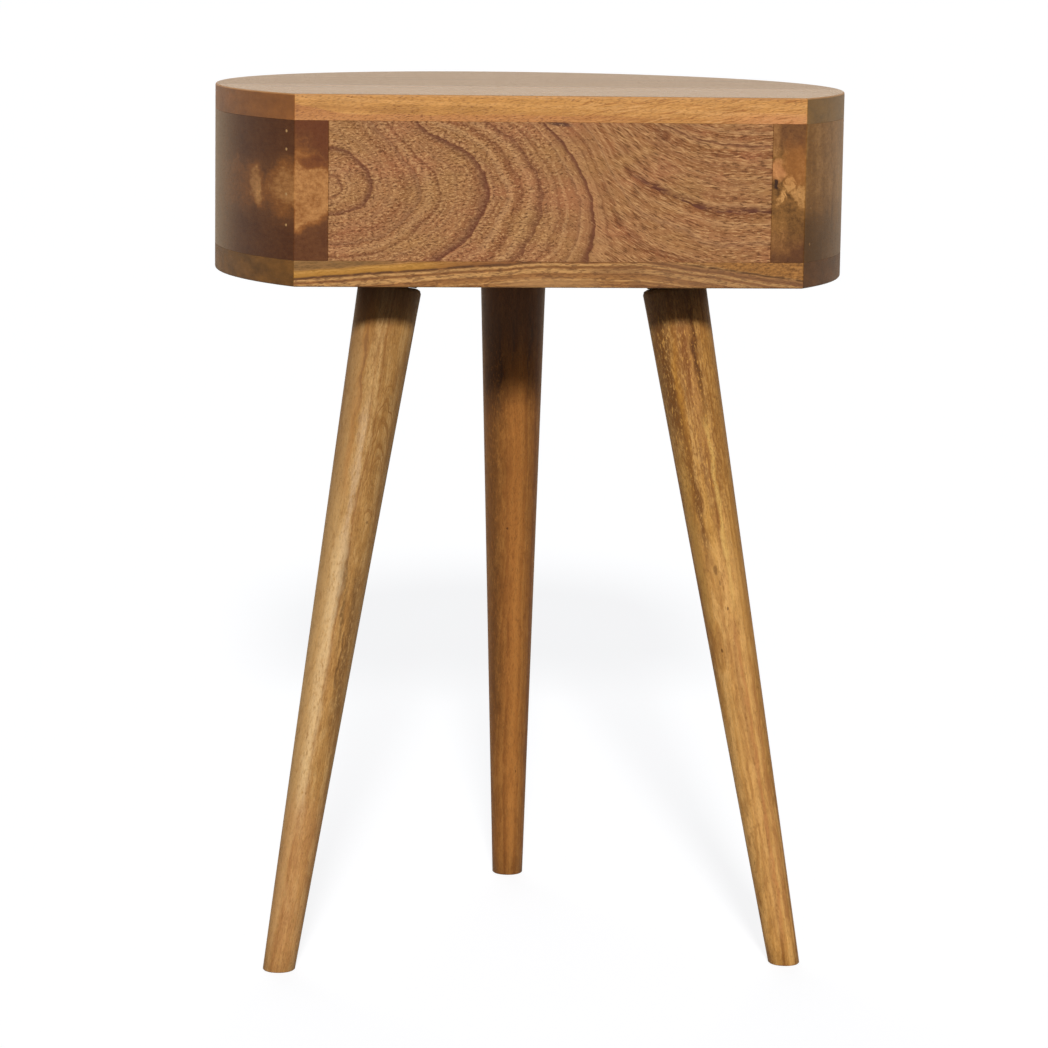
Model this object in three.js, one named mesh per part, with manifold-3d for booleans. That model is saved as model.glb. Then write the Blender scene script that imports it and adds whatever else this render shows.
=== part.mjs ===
// A small nightstand in solid wood on three splayed turned legs. Both boards of its case are
// a round cut straight at the back, and a drawer with a curved front fills the front of the case.
// Millimetres, +Z up, origin on the floor below the middle of the plan, drawer towards -Y.
import * as THREE from 'three';
import { mergeVertices } from 'three/addons/utils/BufferGeometryUtils.js';
import Module from 'manifold-3d';

const wasm = await Module();
wasm.setup();

// Case: two round boards cut straight at the back, curved side walls and a flat back panel
const overallHeight = 556;
const roundDiameter = 400;
const flatFromCentre = 124;
const topThickness = 16;
const bottomThickness = 16;
const wallThickness = 16;
const caseInnerHeight = 85;
const backPanelThickness = 12;
const mouthBearing = THREE.MathUtils.degToRad(44);

// Clearances that neighbouring pieces keep
const glueGap = 0.1;
const fitGap = 0.3;
const runningGap = 1;
const frontGap = 2;
const cutOverrun = 2;

// Drawer with a curved front, finger notch, grooved sides and a loose thin bottom
const drawerFrontThickness = 18;
const drawerSideThickness = 12;
const drawerBackThickness = 12;
const drawerBottomThickness = 5;
const drawerHeadroom = 7;
const grooveRise = 8;
const grooveDepth = 5;
const notchWidth = 90;
const notchDepth = 22;

// Strips beside the drawer and blocks behind it, glued to the bottom board
const guideWidth = 10;
const guideHeight = 12;
const guideSetback = 6;
const stopWidth = 24;
const stopDepth = 12;
const stopHeight = 14;
const stopSpacing = 120;
const stopGap = 0.5;

// Legs, turned and tapered, each tilted outwards on an angled steel plate
const backRightSplay = THREE.MathUtils.degToRad(10.6);
const backLeftSplay = THREE.MathUtils.degToRad(11.2);
const frontSplay = THREE.MathUtils.degToRad(11.3);
const backLegHeading = THREE.MathUtils.degToRad(30);
const frontLegSkew = THREE.MathUtils.degToRad(7.5);
const backLegSpacing = 178.4;
const backLegShift = 1;
const backLegInset = 86;
const frontLegInset = 118;
const legRimChamfer = 3;
const backRightTopDiameter = 40.2;
const backRightFootDiameter = 20.2;
const backLeftTopDiameter = 40.6;
const backLeftFootDiameter = 19.8;
const frontTopDiameter = 43.4;
const frontFootDiameter = 20.8;

// Angled plates, their screws and the hanger bolts
const plateWidth = 58;
const plateThickness = 2.5;
const plateCornerRadius = 7;
const hubDiameter = 34;
const hubHeight = 6.6;
const boltDiameter = 8;
const boltInLeg = 32;
const boltChamfer = 1;
const plateScrewInset = 8;
const plateScrewDiameter = 4;
const plateScrewLength = 13;
const plateScrewHeadDiameter = 7.5;
const plateScrewHeadHeight = 2;
const screwPointLength = 3;

// Dowels between walls and boards, and between the drawer's sides and its front
const caseDowelDiameter = 8;
const caseDowelInBoard = 10;
const caseDowelInWall = 20;
const frontDowelBearing = THREE.MathUtils.degToRad(56);
const backDowelBearing = THREE.MathUtils.degToRad(112);
const drawerDowelDiameter = 6;
const drawerDowelInFront = 11;
const drawerDowelInSide = 15;
const drawerDowelInset = 12;
const dowelChamfer = 1;

// Headless pins that hold the back panel and the drawer's back, sunk below the surface
const pinDiameter = 1.8;
const pinSink = 1;
const casePinLength = 38;
const rightPinHeightShares = [0.25, 0.47, 0.79, 0.92];
const leftPinHeightShares = [0.13, 0.39, 0.65, 0.88];
const drawerPinLength = 30;
const drawerPinInset = 14;

// Smoothness of round surfaces
const facetAngle = THREE.MathUtils.degToRad(3);
const legSides = 40;
const hubSides = 32;
const rodSides = 12;
const pinSides = 8;
const cornerSegments = 4;

// Levels and radii that follow from the sizes above
const roundRadius = roundDiameter / 2;
const innerRadius = roundRadius - wallThickness;
const caseDepth = roundRadius + flatFromCentre;
const backY = caseDepth / 2;
const centreY = backY - flatFromCentre;
const topUndersideZ = overallHeight - topThickness;
const shelfZ = topUndersideZ - caseInnerHeight;
const undersideZ = shelfZ - bottomThickness;
const panelFrontY = backY - backPanelThickness;

// Drawer levels and faces
const drawerRadius = roundRadius - drawerFrontThickness;
const mouthHalfWidth = innerRadius * Math.sin(mouthBearing);
const boxHalfWidth = mouthHalfWidth - guideWidth - runningGap;
const boxInnerHalfWidth = boxHalfWidth - drawerSideThickness;
const boxBackY = panelFrontY - stopDepth - stopGap;
const boxBottomZ = shelfZ + fitGap;
const boxTopZ = topUndersideZ - drawerHeadroom;
const frontBottomZ = shelfZ + frontGap;
const frontTopZ = topUndersideZ - frontGap;
const drawerFloorZ = boxBottomZ + grooveRise + drawerBottomThickness;
const grooveBottomZ = boxBottomZ + grooveRise - glueGap;
const grooveHeight = drawerBottomThickness + glueGap * 2;

function woodLook(colour, roughness) {
  return new THREE.MeshStandardMaterial({ color: colour, roughness, metalness: 0 });
}

const looks = {
  topWood: woodLook(0xb98348, 0.45),
  bottomWood: woodLook(0xb07f45, 0.5),
  wallWood: woodLook(0x8a5c35, 0.45),
  panelWood: woodLook(0x9c6640, 0.5),
  legWood: woodLook(0xa87340, 0.45),
  drawerWood: woodLook(0xa9713d, 0.45),
  rawWood: woodLook(0xc9a46f, 0.7),
  dowelWood: woodLook(0xd8bb8a, 0.8),
  blackSteel: new THREE.MeshStandardMaterial({ color: 0x26262a, roughness: 0.5, metalness: 0.8 }),
  zincSteel: new THREE.MeshStandardMaterial({ color: 0xb9b7ae, roughness: 0.35, metalness: 1 }),
};

// Solids and cuts
function solidOf(geometry) {
  const bare = geometry.clone();
  bare.deleteAttribute('normal');
  bare.deleteAttribute('uv');
  const merged = mergeVertices(bare);
  const vertProperties = new Float32Array(merged.attributes.position.array);
  const triVerts = new Uint32Array(merged.index.array);
  return new wasm.Manifold(new wasm.Mesh({ numProp: 3, vertProperties, triVerts }));
}

function geometryOf(solid) {
  const { vertProperties, triVerts } = solid.getMesh();
  const geometry = new THREE.BufferGeometry();
  geometry.setAttribute('position', new THREE.BufferAttribute(new Float32Array(vertProperties), 3));
  geometry.setIndex(new THREE.BufferAttribute(new Uint32Array(triVerts), 1));
  geometry.computeVertexNormals();
  return geometry;
}

function cut(geometry, cutters) {
  let solid = solidOf(geometry);
  for (const cutter of cutters) solid = solid.subtract(solidOf(cutter));
  return geometryOf(solid);
}

// A bearing is an angle round the centre of the plan, nought at the front and growing to the right
function arcPoints(radius, fromBearing, toBearing) {
  const steps = Math.max(1, Math.ceil(Math.abs(toBearing - fromBearing) / facetAngle));
  const points = [];
  for (let step = 0; step <= steps; step += 1) {
    const bearing = fromBearing + ((toBearing - fromBearing) * step) / steps;
    points.push(new THREE.Vector2(radius * Math.sin(bearing), centreY - radius * Math.cos(bearing)));
  }
  return points;
}

function bearingAtY(radius, y) {
  return Math.acos((centreY - y) / radius);
}

function bearingAtX(radius, x) {
  return Math.asin(x / radius);
}

function slab(points, lowZ, highZ) {
  const options = { depth: highZ - lowZ, bevelEnabled: false };
  const geometry = new THREE.ExtrudeGeometry(new THREE.Shape(points), options);
  return geometry.translate(0, 0, lowZ);
}

function block(lowX, highX, lowY, highY, lowZ, highZ) {
  const geometry = new THREE.BoxGeometry(highX - lowX, highY - lowY, highZ - lowZ);
  return geometry.translate((lowX + highX) / 2, (lowY + highY) / 2, (lowZ + highZ) / 2);
}

// A rod that stands on the point given and reaches along one axis for its length
function rod(radius, length, sides, x, y, z, axis) {
  const geometry = new THREE.CylinderGeometry(radius, radius, length, sides);
  geometry.translate(0, length / 2, 0);
  if (axis === 'x') geometry.rotateZ(-Math.PI / 2);
  if (axis === 'z') geometry.rotateX(Math.PI / 2);
  return geometry.translate(x, y, z);
}

// A turned piece whose profile runs from its lower end to its upper end
function turned(profile, sides) {
  const points = profile.map(([radius, height]) => new THREE.Vector2(radius, height));
  return new THREE.LatheGeometry(points, sides).rotateX(Math.PI / 2);
}

function chamferedRod(radius, length, chamfer, sides) {
  const profile = [
    [0, 0],
    [radius - chamfer, 0],
    [radius, chamfer],
    [radius, length - chamfer],
    [radius - chamfer, length],
    [0, length],
  ];
  return turned(profile, sides);
}

const nightstand = new THREE.Group();

function addPiece(name, geometry, look, parent = nightstand) {
  const mesh = new THREE.Mesh(geometry, look);
  mesh.name = name;
  parent.add(mesh);
  return mesh;
}

const sides = [
  { word: 'right', sign: 1, pinHeightShares: rightPinHeightShares },
  { word: 'left', sign: -1, pinHeightShares: leftPinHeightShares },
];

// Dowels between the walls and the two boards
const caseDowels = [];
for (const { word, sign } of sides) {
  for (const [place, bearing] of [['front', frontDowelBearing], ['back', backDowelBearing]]) {
    const middleRadius = (roundRadius + innerRadius) / 2;
    const [spot] = arcPoints(middleRadius, sign * bearing, sign * bearing);
    caseDowels.push({ name: `${word}_wall_upper_${place}_dowel`, spot, upper: true, sign });
    caseDowels.push({ name: `${word}_wall_lower_${place}_dowel`, spot, upper: false, sign });
  }
}

function caseDowelStart(dowel) {
  return dowel.upper ? topUndersideZ - caseDowelInWall : shelfZ - caseDowelInBoard;
}

function caseDowelHole(dowel) {
  const length = caseDowelInBoard + caseDowelInWall + fitGap * 2;
  const start = caseDowelStart(dowel) - fitGap;
  const radius = caseDowelDiameter / 2 + fitGap;
  return rod(radius, length, rodSides, dowel.spot.x, dowel.spot.y, start, 'z');
}

// Pins driven through the wall ends into the back panel, at half the panel's thickness
function casePinStart(sign) {
  const pinY = backY - backPanelThickness / 2;
  const surfaceX = roundRadius * Math.sin(bearingAtY(roundRadius, pinY));
  const headX = surfaceX - pinSink;
  return { y: pinY, x: sign > 0 ? headX - casePinLength : -headX };
}

function casePinZ(share) {
  return shelfZ + caseInnerHeight * share;
}

function casePinHoles(side) {
  const start = casePinStart(side.sign);
  const length = casePinLength + fitGap + pinSink + cutOverrun;
  const x = side.sign > 0 ? start.x - fitGap : start.x - pinSink - cutOverrun;
  const radius = pinDiameter / 2 + fitGap;
  return side.pinHeightShares.map((share) => rod(radius, length, pinSides, x, start.y, casePinZ(share), 'x'));
}

// The two boards share one outline
function boardOutline() {
  const cornerBearing = bearingAtY(roundRadius, backY);
  return arcPoints(roundRadius, -cornerBearing, cornerBearing);
}

// Where each leg's axis meets the underside of the case, and which way the leg leans out
const legs = [
  {
    name: 'leg_back_right',
    x: backLegShift + backLegSpacing / 2,
    y: backY - backLegInset,
    heading: backLegHeading,
    splay: backRightSplay,
    topDiameter: backRightTopDiameter,
    footDiameter: backRightFootDiameter,
  },
  {
    name: 'leg_back_left',
    x: backLegShift - backLegSpacing / 2,
    y: backY - backLegInset,
    heading: Math.PI - backLegHeading,
    splay: backLeftSplay,
    topDiameter: backLeftTopDiameter,
    footDiameter: backLeftFootDiameter,
  },
  {
    name: 'leg_front',
    x: 0,
    y: frontLegInset - backY,
    heading: -Math.PI / 2 - frontLegSkew,
    splay: frontSplay,
    topDiameter: frontTopDiameter,
    footDiameter: frontFootDiameter,
  },
];

// Frame of a leg: its origin is the middle of the leg's top, its Z runs up the leg's axis
function legFrame(leg) {
  const drop = hubHeight * Math.tan(leg.splay);
  const x = leg.x + drop * Math.cos(leg.heading);
  const y = leg.y + drop * Math.sin(leg.heading);
  const place = new THREE.Matrix4().makeTranslation(x, y, undersideZ - hubHeight);
  place.multiply(new THREE.Matrix4().makeRotationZ(leg.heading));
  return place.multiply(new THREE.Matrix4().makeRotationY(-leg.splay));
}

// Frame of a leg's plate: flat under the case, turned to the leg's heading
function plateFrame(leg) {
  const place = new THREE.Matrix4().makeTranslation(leg.x, leg.y, undersideZ);
  return place.multiply(new THREE.Matrix4().makeRotationZ(leg.heading));
}

function plateScrewSpots() {
  const reach = plateWidth / 2 - plateScrewInset;
  return [[reach, reach], [-reach, reach], [-reach, -reach], [reach, -reach]];
}

function plateScrewHole(x, y, radius, depth) {
  return rod(radius + fitGap, depth, pinSides, x, y, 0, 'z');
}

// Boards
function bottomBoard() {
  const screwHoles = [];
  const holeDepth = plateScrewLength - plateThickness + fitGap + cutOverrun;
  for (const leg of legs) {
    for (const [x, y] of plateScrewSpots()) {
      const hole = plateScrewHole(x, y, plateScrewDiameter / 2, holeDepth);
      screwHoles.push(hole.translate(0, 0, -cutOverrun).applyMatrix4(plateFrame(leg)));
    }
  }
  const dowelHoles = caseDowels.filter((dowel) => !dowel.upper).map(caseDowelHole);
  return cut(slab(boardOutline(), undersideZ, shelfZ), [...screwHoles, ...dowelHoles]);
}

function topBoard() {
  const dowelHoles = caseDowels.filter((dowel) => dowel.upper).map(caseDowelHole);
  return cut(slab(boardOutline(), topUndersideZ, overallHeight), dowelHoles);
}

addPiece('bottom_board', bottomBoard(), looks.bottomWood);
addPiece('top_board', topBoard(), looks.topWood);

// Curved side walls, their back ends flush with the flat back
function sideWall(side) {
  const outerEnd = bearingAtY(roundRadius, backY);
  const innerEnd = bearingAtY(innerRadius, backY);
  const outline = [
    ...arcPoints(roundRadius, side.sign * mouthBearing, side.sign * outerEnd),
    ...arcPoints(innerRadius, side.sign * innerEnd, side.sign * mouthBearing),
  ];
  const holes = caseDowels.filter((dowel) => dowel.sign === side.sign).map(caseDowelHole);
  return cut(slab(outline, shelfZ, topUndersideZ), [...holes, ...casePinHoles(side)]);
}

for (const side of sides) addPiece(`${side.word}_side_wall`, sideWall(side), looks.wallWood);

// Flat back panel, its ends cut to the curve of the walls
function backPanel() {
  const radius = innerRadius - glueGap;
  const frontBearing = bearingAtY(radius, panelFrontY);
  const backBearing = bearingAtY(radius, backY);
  const outline = [
    ...arcPoints(radius, frontBearing, backBearing),
    ...arcPoints(radius, -backBearing, -frontBearing),
  ];
  return cut(slab(outline, shelfZ, topUndersideZ), sides.flatMap(casePinHoles));
}

addPiece('back_panel', backPanel(), looks.panelWood);

for (const dowel of caseDowels) {
  const length = caseDowelInBoard + caseDowelInWall;
  const geometry = chamferedRod(caseDowelDiameter / 2, length, dowelChamfer, rodSides);
  const piece = addPiece(dowel.name, geometry, looks.dowelWood);
  piece.position.set(dowel.spot.x, dowel.spot.y, caseDowelStart(dowel));
}

for (const side of sides) {
  const start = casePinStart(side.sign);
  side.pinHeightShares.forEach((share, index) => {
    const geometry = rod(pinDiameter / 2, casePinLength, pinSides, 0, 0, 0, 'x');
    const piece = addPiece(`back_panel_${side.word}_pin_${index + 1}`, geometry, looks.zincSteel);
    piece.position.set(start.x, start.y, casePinZ(share));
  });
}

// Legs: the top is square to the axis, the foot is cut level with the floor
function legSolid(leg) {
  const axisLength = (undersideZ - hubHeight) / Math.cos(leg.splay);
  const length = axisLength + leg.footDiameter;
  const topRadius = leg.topDiameter / 2;
  const endRadius = topRadius + ((leg.footDiameter / 2 - topRadius) * length) / axisLength;
  const profile = [
    [0, -length],
    [endRadius, -length],
    [topRadius, -legRimChamfer],
    [topRadius - legRimChamfer, 0],
    [0, 0],
  ];
  const frame = legFrame(leg);
  const boreLength = boltInLeg + fitGap + cutOverrun;
  const bore = rod(boltDiameter / 2 + fitGap, boreLength, rodSides, 0, 0, -boltInLeg - fitGap, 'z');
  const reach = roundDiameter;
  const belowFloor = block(-reach, reach, -reach, reach, -reach, 0);
  return cut(turned(profile, legSides).applyMatrix4(frame), [bore.applyMatrix4(frame), belowFloor]);
}

// Angled plate: a flat flange with a slanted hub that the leg's top closes on
function plateOutline() {
  const half = plateWidth / 2;
  const inner = half - plateCornerRadius;
  const outline = new THREE.Shape();
  outline.absarc(inner, inner, plateCornerRadius, 0, Math.PI / 2);
  outline.absarc(-inner, inner, plateCornerRadius, Math.PI / 2, Math.PI);
  outline.absarc(-inner, -inner, plateCornerRadius, Math.PI, Math.PI * 1.5);
  outline.absarc(inner, -inner, plateCornerRadius, Math.PI * 1.5, Math.PI * 2);
  return outline;
}

function anglePlate(leg) {
  const options = { depth: plateThickness, bevelEnabled: false, curveSegments: cornerSegments };
  const flange = new THREE.ExtrudeGeometry(plateOutline(), options).translate(0, 0, -plateThickness);
  const hubLength = hubHeight + hubDiameter / 2;
  const hub = rod(hubDiameter / 2, hubLength, hubSides, 0, 0, fitGap, 'z');
  const holeRadius = boltDiameter / 2 + fitGap;
  const boltHole = rod(holeRadius, hubLength + cutOverrun * 2, rodSides, 0, 0, -cutOverrun, 'z');
  const frame = legFrame(leg);
  const flat = plateFrame(leg);
  const aboveFlange = block(-plateWidth, plateWidth, -plateWidth, plateWidth, 0, hubLength * 2);
  let plate = solidOf(flange.applyMatrix4(flat)).add(solidOf(hub.applyMatrix4(frame)));
  plate = plate.subtract(solidOf(aboveFlange.applyMatrix4(flat)));
  plate = plate.subtract(solidOf(boltHole.applyMatrix4(frame)));
  const holeDepth = plateThickness + cutOverrun * 2;
  for (const [x, y] of plateScrewSpots()) {
    const hole = plateScrewHole(x, y, plateScrewDiameter / 2, holeDepth);
    plate = plate.subtract(solidOf(hole.translate(0, 0, cutOverrun - holeDepth).applyMatrix4(flat)));
  }
  return geometryOf(plate);
}

// Pan head screws: the head bears on the flange from below
function plateScrew() {
  const headRadius = plateScrewHeadDiameter / 2;
  const shankRadius = plateScrewDiameter / 2;
  const seat = -plateThickness - fitGap;
  const tip = plateScrewLength - plateThickness;
  const profile = [
    [0, seat - plateScrewHeadHeight],
    [shankRadius, seat - plateScrewHeadHeight],
    [headRadius, seat - plateScrewHeadHeight / 2],
    [headRadius, seat],
    [shankRadius, seat],
    [shankRadius, tip - screwPointLength],
    [0, tip],
  ];
  return turned(profile, rodSides);
}

function hangerBolt() {
  const length = boltInLeg + hubHeight - plateThickness / 2;
  return chamferedRod(boltDiameter / 2, length, boltChamfer, rodSides).translate(0, 0, -boltInLeg);
}

for (const leg of legs) {
  addPiece(leg.name, legSolid(leg), looks.legWood);
  addPiece(`${leg.name}_plate`, anglePlate(leg), looks.blackSteel);
  const bolt = addPiece(`${leg.name}_bolt`, hangerBolt(), looks.zincSteel);
  bolt.applyMatrix4(legFrame(leg));
  const flat = new THREE.Group();
  flat.applyMatrix4(plateFrame(leg));
  nightstand.add(flat);
  plateScrewSpots().forEach(([x, y], index) => {
    const screw = addPiece(`${leg.name}_plate_screw_${index + 1}`, plateScrew(), looks.zincSteel, flat);
    screw.position.set(x, y, 0);
  });
}

// Drawer joints: dowels into the front, pins through the sides into the back
function drawerDowels(side) {
  const x = side.sign * (boxHalfWidth - drawerSideThickness / 2);
  const meetY = centreY - drawerRadius * Math.cos(bearingAtX(drawerRadius, x));
  const y = meetY - drawerDowelInFront;
  return [
    { name: `drawer_${side.word}_lower_dowel`, x, y, z: drawerFloorZ + drawerDowelInset },
    { name: `drawer_${side.word}_upper_dowel`, x, y, z: boxTopZ - drawerDowelInset },
  ];
}

function drawerDowelHole(dowel) {
  const length = drawerDowelInFront + drawerDowelInSide + fitGap * 2;
  const radius = drawerDowelDiameter / 2 + fitGap;
  return rod(radius, length, rodSides, dowel.x, dowel.y - fitGap, dowel.z, 'y');
}

function drawerPins(side) {
  const headX = boxHalfWidth - pinSink;
  const x = side.sign > 0 ? headX - drawerPinLength : -headX;
  const y = boxBackY - drawerBackThickness / 2;
  return [
    { name: `drawer_${side.word}_lower_pin`, x, y, z: drawerFloorZ + drawerPinInset, sign: side.sign },
    { name: `drawer_${side.word}_upper_pin`, x, y, z: boxTopZ - drawerPinInset, sign: side.sign },
  ];
}

function drawerPinHole(pin) {
  const length = drawerPinLength + fitGap + pinSink + cutOverrun;
  const x = pin.sign > 0 ? pin.x - fitGap : pin.x - pinSink - cutOverrun;
  return rod(pinDiameter / 2 + fitGap, length, pinSides, x, pin.y, pin.z, 'x');
}

// Drawer front: curved with the walls, a half-moon notch in its upper edge to pull it by
function drawerFront() {
  const endBearing = mouthBearing - frontGap / roundRadius;
  const outline = [
    ...arcPoints(roundRadius, -endBearing, endBearing),
    ...arcPoints(drawerRadius, endBearing, -endBearing),
  ];
  const notchRadius = (notchWidth ** 2 / 4 + notchDepth ** 2) / (2 * notchDepth);
  const notchZ = frontTopZ - notchDepth + notchRadius;
  const notchLength = roundRadius;
  const notch = rod(notchRadius, notchLength, legSides * 2, 0, centreY - notchLength * 1.5, notchZ, 'y');
  const grooveHalfWidth = boxInnerHalfWidth + grooveDepth;
  const grooveRadius = drawerRadius + grooveDepth;
  const grooveBearing = bearingAtX(grooveRadius, grooveHalfWidth);
  const innerBearing = bearingAtX(drawerRadius - cutOverrun, grooveHalfWidth);
  const groove = slab(
    [
      ...arcPoints(grooveRadius, -grooveBearing, grooveBearing),
      ...arcPoints(drawerRadius - cutOverrun, innerBearing, -innerBearing),
    ],
    grooveBottomZ,
    grooveBottomZ + grooveHeight,
  );
  const dowelHoles = sides.flatMap(drawerDowels).map(drawerDowelHole);
  return cut(slab(outline, frontBottomZ, frontTopZ), [notch, groove, ...dowelHoles]);
}

// Drawer side: its front end follows the curve of the drawer front, its inner face is grooved
function drawerSide(side) {
  const endRadius = drawerRadius - glueGap;
  const innerBearing = side.sign * bearingAtX(endRadius, boxInnerHalfWidth);
  const outerBearing = side.sign * bearingAtX(endRadius, boxHalfWidth);
  const outline = [
    ...arcPoints(endRadius, innerBearing, outerBearing),
    new THREE.Vector2(side.sign * boxHalfWidth, boxBackY),
    new THREE.Vector2(side.sign * boxInnerHalfWidth, boxBackY),
  ];
  const grooveX = side.sign * (boxInnerHalfWidth + grooveDepth);
  const openX = side.sign * (boxInnerHalfWidth - cutOverrun);
  const groove = block(
    Math.min(grooveX, openX),
    Math.max(grooveX, openX),
    centreY - roundRadius,
    boxBackY + cutOverrun,
    grooveBottomZ,
    grooveBottomZ + grooveHeight,
  );
  const holes = [...drawerDowels(side).map(drawerDowelHole), ...drawerPins(side).map(drawerPinHole)];
  return cut(slab(outline, boxBottomZ, boxTopZ), [groove, ...holes]);
}

// Drawer bottom: thin board in the grooves, slid in from the back under the drawer back
function drawerBottom() {
  const halfWidth = boxInnerHalfWidth + grooveDepth - fitGap;
  const radius = drawerRadius + grooveDepth - fitGap;
  const bearing = bearingAtX(radius, halfWidth);
  const outline = [
    ...arcPoints(radius, -bearing, bearing),
    new THREE.Vector2(halfWidth, boxBackY),
    new THREE.Vector2(-halfWidth, boxBackY),
  ];
  return slab(outline, drawerFloorZ - drawerBottomThickness, drawerFloorZ);
}

function drawerBack() {
  const halfWidth = boxInnerHalfWidth - glueGap;
  const lowZ = drawerFloorZ + glueGap;
  const board = block(-halfWidth, halfWidth, boxBackY - drawerBackThickness, boxBackY, lowZ, boxTopZ);
  return cut(board, sides.flatMap(drawerPins).map(drawerPinHole));
}

addPiece('drawer_front', drawerFront(), looks.drawerWood);
for (const side of sides) addPiece(`drawer_${side.word}_side`, drawerSide(side), looks.rawWood);
addPiece('drawer_back', drawerBack(), looks.rawWood);
addPiece('drawer_bottom', drawerBottom(), looks.rawWood);

for (const side of sides) {
  for (const dowel of drawerDowels(side)) {
    const length = drawerDowelInFront + drawerDowelInSide;
    const geometry = chamferedRod(drawerDowelDiameter / 2, length, dowelChamfer, rodSides);
    const piece = addPiece(dowel.name, geometry.rotateX(-Math.PI / 2), looks.dowelWood);
    piece.position.set(dowel.x, dowel.y, dowel.z);
  }
  for (const pin of drawerPins(side)) {
    const geometry = rod(pinDiameter / 2, drawerPinLength, pinSides, 0, 0, 0, 'x');
    const piece = addPiece(pin.name, geometry, looks.zincSteel);
    piece.position.set(pin.x, pin.y, pin.z);
  }
}

// Guide strips beside the drawer and stop blocks behind it
for (const side of sides) {
  const guideX = side.sign * (mouthHalfWidth - guideWidth / 2);
  const guideFrontY = centreY - innerRadius * Math.cos(mouthBearing) + guideSetback;
  const guideBackY = boxBackY;
  const guide = new THREE.BoxGeometry(guideWidth, guideBackY - guideFrontY, guideHeight);
  const strip = addPiece(`${side.word}_drawer_guide`, guide, looks.rawWood);
  strip.position.set(guideX, (guideFrontY + guideBackY) / 2, shelfZ + guideHeight / 2);

  const stop = new THREE.BoxGeometry(stopWidth, stopDepth, stopHeight);
  const stopBlock = addPiece(`${side.word}_drawer_stop`, stop, looks.rawWood);
  const stopX = (side.sign * stopSpacing) / 2;
  stopBlock.position.set(stopX, panelFrontY - stopDepth / 2, shelfZ + stopHeight / 2);
}

export default nightstand;
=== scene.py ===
import math

import bmesh
import bpy
from mathutils import Matrix, Vector


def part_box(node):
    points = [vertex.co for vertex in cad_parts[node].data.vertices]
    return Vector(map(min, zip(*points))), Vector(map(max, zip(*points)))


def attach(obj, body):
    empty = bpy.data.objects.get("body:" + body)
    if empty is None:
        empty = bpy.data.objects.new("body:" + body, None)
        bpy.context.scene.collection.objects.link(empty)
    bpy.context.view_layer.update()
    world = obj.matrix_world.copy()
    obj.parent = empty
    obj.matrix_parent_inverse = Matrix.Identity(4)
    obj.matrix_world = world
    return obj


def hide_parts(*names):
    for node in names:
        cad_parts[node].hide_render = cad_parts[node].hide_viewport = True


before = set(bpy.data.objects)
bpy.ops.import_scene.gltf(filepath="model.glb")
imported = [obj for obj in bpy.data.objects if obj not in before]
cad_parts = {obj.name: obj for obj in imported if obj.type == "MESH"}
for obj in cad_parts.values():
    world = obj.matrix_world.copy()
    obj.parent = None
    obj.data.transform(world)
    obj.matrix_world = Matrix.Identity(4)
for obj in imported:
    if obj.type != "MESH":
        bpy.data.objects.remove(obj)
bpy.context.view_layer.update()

# Bottom board
# A 16 mm board of lacquered hardwood, glued up from planks, cut to a round and then sawn straight
# at the back. Everything else stands on it or hangs below it, and its grain runs across the width.
mm = 0.001
bottom_low, bottom_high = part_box("bottom_board")
round_radius = bottom_high.x
back_y = bottom_high.y
centre_y = bottom_low.y + round_radius
arc_step = math.radians(1.5)
rim_easing = 1.2 * mm
joint_easing = 0.25 * mm
corner_easing = 0.6 * mm


def arc(radius, from_bearing, to_bearing):
    """Plan points on an arc round the middle of the boards; bearing 0 is the front, + the right."""
    count = max(2, round(abs(to_bearing - from_bearing) / arc_step))
    points = []
    for step in range(count + 1):
        bearing = from_bearing + (to_bearing - from_bearing) * step / count
        points.append((radius * math.sin(bearing), centre_y - radius * math.cos(bearing)))
    return points


def bearing_at_y(radius, y):
    return math.acos((centre_y - y) / radius)


flat_bearing = bearing_at_y(round_radius, back_y)
flat_half = round_radius * math.sin(flat_bearing)
board_outline = arc(round_radius, -flat_bearing, flat_bearing)


def skin(mesh, rows, looped=False):
    """Spans rows of points, each a closed loop, with faces, and caps the ends or joins them up."""
    rings = [[mesh.verts.new(point) for point in row] for row in rows]
    if looped:
        rings.append(rings[0])
    else:
        mesh.faces.new(rings[0][::-1])
        mesh.faces.new(rings[-1])
    for ring, following in zip(rings, rings[1:]):
        for index in range(len(ring)):
            beyond = (index + 1) % len(ring)
            mesh.faces.new((ring[index], ring[beyond], following[beyond], following[index]))


def add_object(name, data):
    made = bpy.data.objects.new(name, data)
    bpy.context.scene.collection.objects.link(made)
    return made


def mesh_piece(name, mesh):
    """Turns a bmesh into an object whose faces are all smooth."""
    bmesh.ops.recalc_face_normals(mesh, faces=mesh.faces)
    for face in mesh.faces:
        face.smooth = True
    data = bpy.data.meshes.new(name)
    mesh.to_mesh(data)
    mesh.free()
    return add_object(name, data)


def ease_edges(piece, width, sharper_than=25):
    """Rounds the edges that carry a bevel weight, or all sharp ones where none is set."""
    bevel = piece.modifiers.new("eased_edges", "BEVEL")
    bevel.width = width
    bevel.segments = 3
    bevel.harden_normals = True
    bevel.limit_method = "ANGLE"
    bevel.angle_limit = math.radians(sharper_than)
    if "bevel_weight_edge" in piece.data.attributes:
        bevel.limit_method = "WEIGHT"


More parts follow.
